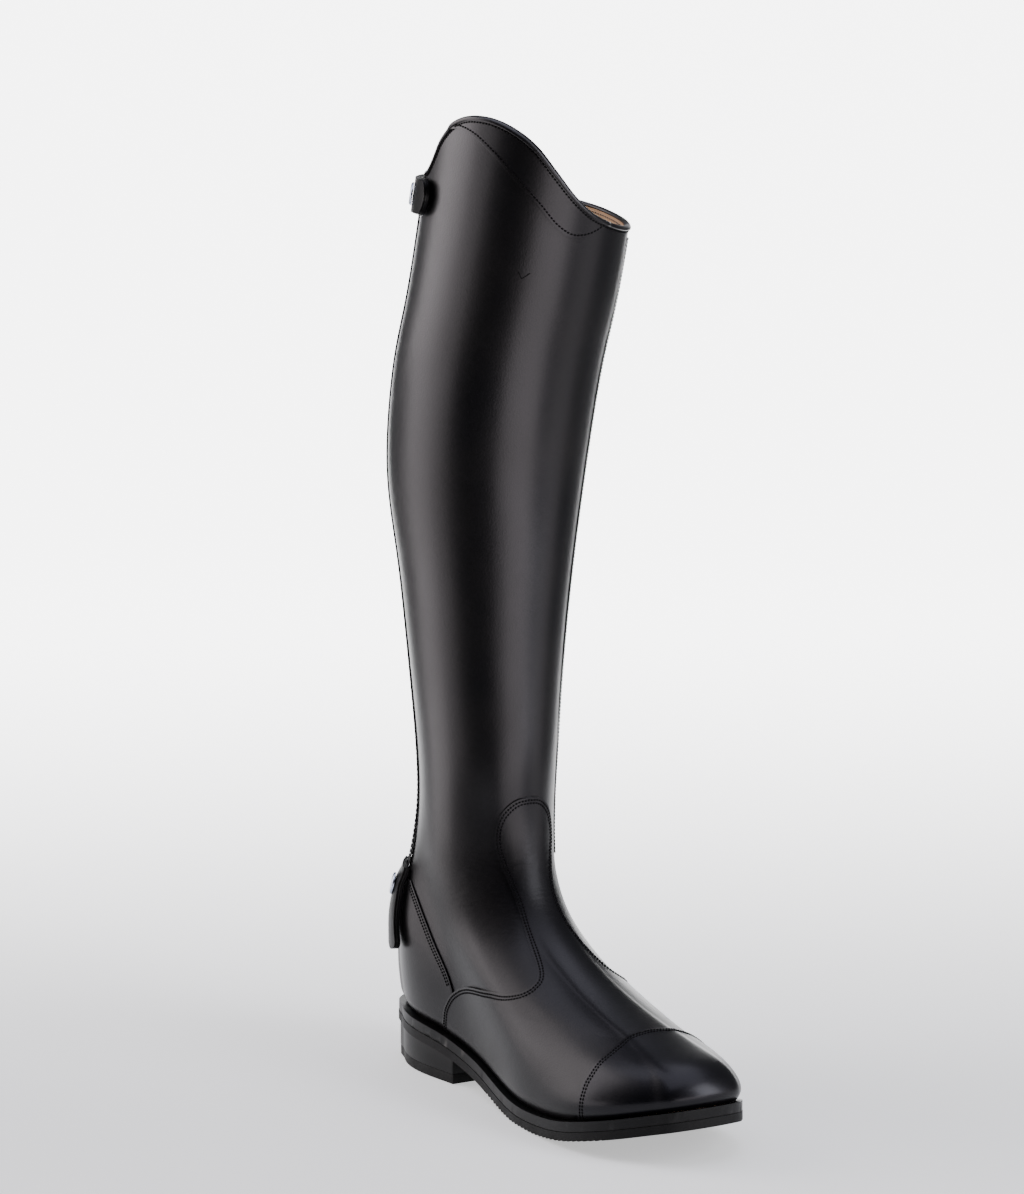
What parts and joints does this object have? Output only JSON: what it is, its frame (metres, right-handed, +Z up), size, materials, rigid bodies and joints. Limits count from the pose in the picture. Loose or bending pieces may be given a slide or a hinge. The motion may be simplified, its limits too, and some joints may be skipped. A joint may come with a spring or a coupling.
{
  "type": "tall riding boot",
  "caption": "Tall black leather riding boot for the right foot, with a collar that rises on the outer side, capped toe, back zip with snap tabs, welted ribbed sole and low stacked heel.",
  "frame": {"origin": "on the floor, under the middle of the boot's box", "axes": "+Z up the leg, -Y towards the toe, +X to the inner side of the right foot"},
  "size_m": [0.1202, 0.2962, 0.5428],
  "materials": {
    "calf_leather": "smooth black calf leather, semi-gloss",
    "sole_leather": "black edge-dressed sole leather, satin",
    "sole_rubber": "black moulded rubber, matt",
    "lining_leather": "tan lining leather, matt",
    "zip_tape": "black woven zip tape with closed teeth",
    "snap_steel": "dark nickel press stud"
  },
  "bodies": {
    "root": {"upper": "calf_leather", "vamp": "calf_leather", "toe_cap": "calf_leather", "heel_counter": "calf_leather", "top_band": "calf_leather", "collar_binding": "calf_leather", "back_zip": "zip_tape", "top_tab": "calf_leather", "top_tab_snap": "snap_steel", "zip_guard": "calf_leather", "zip_guard_snap": "snap_steel", "insole": "lining_leather", "welt": "sole_leather", "outsole": "sole_rubber", "heel_block": "sole_leather", "top_lift": "sole_rubber"}
  },
  "joints": []
}
